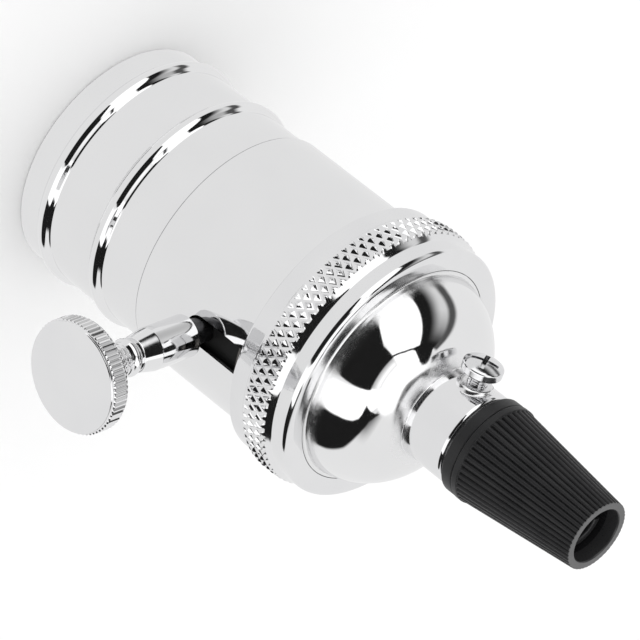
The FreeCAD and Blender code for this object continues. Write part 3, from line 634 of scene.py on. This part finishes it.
def nut_profile():
    # A short hem, then a straight cone with a point every millimetre or so.
    thread_r, hem_r, foot_r, tip_r, hole = 5.65, 8.15, 8.0, 5.75, 4.48
    hem_end, cone_end, steps = collar_top + 1.25, nut_top - 0.1, 18
    p = [(thread_r, collar_top), (hem_r, collar_top, 0.25)]
    p += [(hem_r, collar_top + 1.1, 0.15), (foot_r, hem_end)]
    for k in range(1, steps):
        t = k / steps
        p.append((foot_r + (tip_r - foot_r) * t, hem_end + (cone_end - hem_end) * t))
    p += [(tip_r, cone_end), (5.68, nut_top), (4.65, nut_top, 0.08)]
    return rounded(p + [(hole, nut_top - 0.17), (hole, 101.6), (thread_r, 90.0)])


def tooth_wave(a, count):
    # 0 in the middle of a tooth and 1 in the middle of a gap.
    return abs(((a * count / (2 * math.pi)) % 1) - 0.5) * 2


def ribbed(a, r, z, k):
    # Rounded ribs with narrow grooves, from the hem to the end face.
    if r < 5.6 or z < collar_top + 1.2:
        return r
    fade = min(1, max(0, (z - collar_top - 1.2) / 0.06)) * min(1, 0.3 + max(0, (nut_top - z) / 0.3))
    land, sharpness = 0.3, 1.6
    gap = (max(0, tooth_wave(a, rib_count) - land) / (1 - land)) ** sharpness
    return r - rib_depth * fade * (r / 8) * gap


nut = lathe("ribbed_nut", nut_profile(), grip_plastic, "nut", "grip_plastic", rib_count * 12, 45, ribbed)
end_z, hole_z, hole_edge_r = (nut_top - 0.05) * MM, 100 * MM, 4.9 * MM
# The nut's end face gets the painted light
paint(nut, nut_end_painted_light, lambda c: c.z > end_z)
# The wall of the nut's hole gets the painted light
paint(nut, bore_painted_light, lambda c: hole_z < c.z <= end_z and c.xy.length < hole_edge_r)
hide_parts("grip_nut")


# Threaded lamp shell: rolled round thread, then the plain neck

def thread_profile():
    foot, length, steps = 4, 18, 84
    neck_out, neck_in, hole, floor_top, floor_under = 12.95, 12.6, 7.8, 27.0, 26.65
    zs = [foot + length * k / steps for k in range(steps + 1)]
    p = [(thread_out, z) for z in zs] + [(neck_out, 22.7), (neck_out, 26.9), (12.9, floor_top)]
    p += [(hole, floor_top), (hole, floor_under), (12.5, floor_under), (neck_in, 26.5), (neck_in, 22.8)]
    return p + [(thread_in, z) for z in zs[::-1]]


def threaded(a, r, z, k):
    # A round thread in both faces of the wall, starting and ending flush with it.
    if r not in (thread_in, thread_out):
        return r
    start, run_in, end, run_out, deep = 4.3, 1.2, 21.9, 1.0, 1.0
    fade = min(1, max(0, (z - start) / run_in)) * min(1, max(0, (end - z) / run_out))
    return r - deep / 2 * fade * (1 + math.cos(2 * math.pi * (z / thread_pitch) - a))


thread = lathe("thread_rolled", thread_profile(), thread_metal, "holder", "thread_metal", 144,
               radius=threaded)
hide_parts("thread_shell")


# Knob: sleeve, cone, bead, grooved stem and a disc with a straight knurl

def knob_profile():
    # Levels run out from the holder's axis, as in the part.
    bore, sleeve_out, stem_r, groove_r = 2.02, 3.3, 2.56, 2.4
    start, cone_foot, cone_end, bore_end, disc_back = 22.2, 29.8, 32.9, 30.5, 41.9
    bead_foot, bead_end = (groove_r, 33.3), (2.6, 34.9)
    flare_foot, flare_end = (2.5, 39.6), (3.2, disc_back)
    grooves, groove_from, groove_pitch = 5, 35.3, 0.75
    p = [(bore, start), (sleeve_out, start, 0.3), (sleeve_out, cone_foot, 0.15), (2.7, cone_end, 0.1)]
    p += [(groove_r, cone_end), bead_foot] + arc(bead_foot, (2.9, 34.1), bead_end, 10) + [bead_end]
    for k in range(grooves):
        x = groove_from + groove_pitch * k
        p += [(stem_r, x, 0.06), (groove_r, x + 0.1, 0.05)]
        p += [(groove_r, x + 0.25, 0.05), (stem_r, x + 0.35, 0.06)]
    p += [flare_foot] + arc(flare_foot, (2.55, 41.0), flare_end, 8) + [flare_end]
    p += [(8.4, disc_back, 0.1), (knob_r, 42.3, 0.1), (knob_r, 44.5), (8.43, 44.62), (8.42, 44.95, 0.05)]
    return p + [(8.32, knob_end, 0.05), (0, knob_end), (0, bore_end), (bore, bore_end)]


def toothed(a, r, z, k):
    # Teeth on the disc's edge, fading out towards the plain rim.
    rim_r, fade_width, land = 8.45, 0.2, 0.25
    if r < rim_r:
        return r
    gap = max(0, tooth_wave(a, knob_teeth) - land) / (1 - land)
    return r - tooth_deep * gap * min(1, max(0, (r - rim_r) / fade_width))


knob_frame = along((0, 0, spindle_z), (1, 0, 0))
knob = lathe("turned_knob", rounded(knob_profile()), knob_chrome, "switch_shaft", "knob_chrome",
             knob_teeth * 6, 30, toothed, knob_frame)
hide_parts("knob")


# Finishes of the solids that are shown as they are

finish = {"neck_nut": zinc, "lamp_core": core_plastic, "core_cover": fibre, "insulating_liner": liner_paper,
          "cover_screws": zinc, "terminal_screws": zinc, "live_terminal": brass, "neutral_terminal": brass,
          "switch_contact": brass, "contact_rivet": brass, "shell_rivets": brass, "centre_contact": brass,
          "spindle": dark_steel, "spindle_clip": spring_steel, "switch_rotor": rotor_plastic,
          "rotor_bridge": brass, "detent_spring": spring_steel}
for name, material in finish.items():
    node = nodes[name]
    if not node.material_slots:
        node.data.materials.append(material)
    for slot in node.material_slots:
        slot.link = "OBJECT"
        slot.material = material


# Studio: pale tent with black cards and white panels, seen only in reflections

world = bpy.data.worlds.new("studio")
bpy.context.scene.world = world
world.use_nodes = True
wt = world.node_tree
wt.nodes.clear()


def link(value, socket):
    if isinstance(value, (int, float)):
        socket.default_value = value
    else:
        wt.links.new(value, socket)


def calc(op, a, b=0.0):
    n = wt.nodes.new("ShaderNodeMath")
    n.operation = op
    link(a, n.inputs[0])
    link(b, n.inputs[1])
    return n.outputs[0]


def step_up(x, edge, soft=1.2):
    # 0 below the edge and 1 above it, turning over within soft degrees on either side.
    t = calc("DIVIDE", calc("SUBTRACT", x, edge), 2 * soft)
    n = wt.nodes.new("ShaderNodeMapRange")
    n.interpolation_type = "SMOOTHSTEP"
    link(calc("ADD", t, 0.5), n.inputs["Value"])
    return n.outputs[0]


def between(x, low, high, soft=1.2, soft_high=None):
    under = calc("SUBTRACT", 1.0, step_up(x, high, soft_high or soft))
    return calc("MULTIPLY", step_up(x, low, soft), under)


def mix(a, b, share):
    # From a, where the share is 0, to b, where it is 1.
    return calc("ADD", calc("MULTIPLY", a, calc("SUBTRACT", 1.0, share)), calc("MULTIPLY", b, share))


coord = wt.nodes.new("ShaderNodeTexCoord")
split = wt.nodes.new("ShaderNodeSeparateXYZ")
wt.links.new(coord.outputs["Generated"], split.inputs[0])
degrees = 180 / math.pi
azimuth = calc("MULTIPLY", calc("ARCTAN2", split.outputs[1], split.outputs[0]), degrees)
azimuth = calc("ADD", azimuth, calc("MULTIPLY", calc("LESS_THAN", azimuth, 0.0), 360.0))
height = calc("MULTIPLY", calc("ARCSINE", split.outputs[2]), degrees)


def bent(x, points):
    # A broken line through the points.
    total = points[0][1]
    for (x0, y0), (x1, y1) in zip(points, points[1:]):
        n = wt.nodes.new("ShaderNodeMapRange")
        link(x, n.inputs["Value"])
        link(x0, n.inputs["From Min"])
        link(x1, n.inputs["From Max"])
        link(0.0, n.inputs["To Min"])
        link(y1 - y0, n.inputs["To Max"])
        total = calc("ADD", total, n.outputs[0])
    return total


def past(x, edge, soft=1.2):
    # 0 before a bent edge and 1 after it.
    return step_up(calc("SUBTRACT", x, edge), 0.0, soft)


def before(x, edge, soft=1.2):
    return calc("SUBTRACT", 1.0, past(x, edge, soft))


def both(a, b):
    # 1 only where both shares are.
    return calc("MULTIPLY", a, b)


# Brightness of the tent, of its white panels and of the black cards; angles are in degrees
tent, panel, black = 0.88, 1.3, 0.012
light = mix(tent, panel, between(azimuth, 248, 300, 2))
through_zero = calc("ADD", step_up(azimuth, 355, 2), calc("SUBTRACT", 1.0, step_up(azimuth, 40, 2)))
light = mix(light, panel, through_zero)
light = mix(light, panel, step_up(height, 66, 2))
# The card beside the camera, with a haze over its upper edge
haze = bent(height, [(54, 0.5), (57, 0.72), (62, 1.3)])
light = mix(light, haze, both(between(azimuth, 302, 354, 3), between(height, 50, 64, 2)))
left = bent(height, [(0, 290), (32, 302), (50, 300)])
right = bent(height, [(0, 350), (50, 357)])
card = both(both(past(azimuth, left, 0.8), before(azimuth, right, 0.8)), between(height, -22, 53.6, 4, 1.2))
light = mix(light, black, card)
# The card on the knob's side: its top leans over to the left, and its right side fades
fade = bent(azimuth, [(56, 0.18), (62, 0.36), (70, 0.62), (79, 0.88)])
light = mix(light, fade, both(between(azimuth, 52, 80, 2), between(height, 42, 65, 9, 2)))
left = bent(height, [(-2, 25), (20, 30), (38, 37.5), (45, 38), (49, 34), (52, 27), (54, 22), (58, 35),
                     (61, 44), (65, 60)])
right = bent(height, [(0, 70), (20, 68), (40, 60.5), (50, 57), (55, 54.5), (62, 58), (65, 63)])
card = both(both(past(azimuth, left, 1.2), before(azimuth, right, 2)), between(height, -22, 65.4, 4, 0.8))
light = mix(light, black, card)
# The card on the screw's side: black at the right, a pale stripe that dims upwards, and a dark stripe
rows = between(height, -22, 60, 4, 1.2)
pale = bent(height, [(20, 0.74), (30, 0.58), (40, 0.38), (50, 0.12), (56, 0.02)])
grey = mix(pale, black, step_up(azimuth, 232, 8))
drift = calc("ADD", azimuth, bent(height, [(0, -4), (20, -0.5), (50, 3)]))
light = mix(light, grey, both(both(step_up(drift, 214, 2), before(azimuth, 250.3, 0.9)), rows))
light = mix(light, 0.09, both(between(drift, 206.5, 216.5, 3), rows))
# The arch over it runs on as a thin line to the corner of the first card
top = bent(azimuth, [(186, 69), (200, 73), (222, 73.2), (240, 70), (250, 66.5), (258, 62), (264, 60.3),
                     (280, 58.3), (290, 55.5), (301, 52.8)])
base = bent(azimuth, [(186, 68.5), (200, 66), (212, 62), (218, 57), (240, 57), (262, 58.6), (280, 56.2),
                      (290, 53.4), (301, 50)])
arch = both(past(height, base, 0.4), before(height, top, 0.5))
light = mix(light, black, both(between(azimuth, 190, 301, 5, 1), arch))
# The floor's own brightness, below the cards
floor_light = 0.85
light = mix(light, floor_light, calc("SUBTRACT", 1.0, step_up(height, -25, 3)))

# Only glossy rays see the cards: the rest is an even white
path = wt.nodes.new("ShaderNodeLightPath")
glossy = path.outputs["Is Glossy Ray"]
camera_ray = path.outputs["Is Camera Ray"]
plain = mix(1.0, light, glossy)
strength = mix(plain, 1.0, camera_ray)
background = wt.nodes.new("ShaderNodeBackground")
background.inputs[0].default_value = (1, 1, 1, 1)
wt.links.new(strength, background.inputs[1])
output = wt.nodes.new("ShaderNodeOutputWorld")
wt.links.new(background.outputs[0], output.inputs[0])


# Floor

bpy.ops.mesh.primitive_plane_add(size=6)
floor = bpy.context.object
floor.name = "floor"
paper, paper_tree, paper_bsdf, paper_coord = new_material("floor_paper")
paper_bsdf.inputs["Roughness"].default_value = 0.9
mottle = noise(paper_tree, paper_coord, 40, 2)
tinted(paper_tree, paper_bsdf, mottle, (0.965, 0.965, 0.965), (0.975, 0.975, 0.975))
floor.data.materials.append(paper)
floor.visible_glossy = False

lamp = bpy.data.lights.new("softbox", "AREA")
lamp.shape = "DISK"
lamp.size = 0.6
lamp.energy = 0.7
lamp_object = bpy.data.objects.new("softbox", lamp)
bpy.context.scene.collection.objects.link(lamp_object)
lamp_object.location = (0.25, 0.1, 0.8)
aim = Vector((0, 0, 0.05)) - lamp_object.location
lamp_object.rotation_euler = aim.to_track_quat("-Z", "Y").to_euler()
lamp_object.visible_glossy = False


# Camera

camera = bpy.data.cameras.new("camera")
camera.sensor_width = 36
camera.lens = 305.58
camera.clip_start = 0.01
camera_object = bpy.data.objects.new("camera", camera)
bpy.context.scene.collection.objects.link(camera_object)
camera_object.location = (0.53657982, -0.44579423, 0.44410063)
camera_object.rotation_euler = [math.radians(v) for v in (-47.36175, -42.98466, -161.86101)]
bpy.context.scene.camera = camera_object

bpy.context.scene.view_settings.view_transform = "Standard"
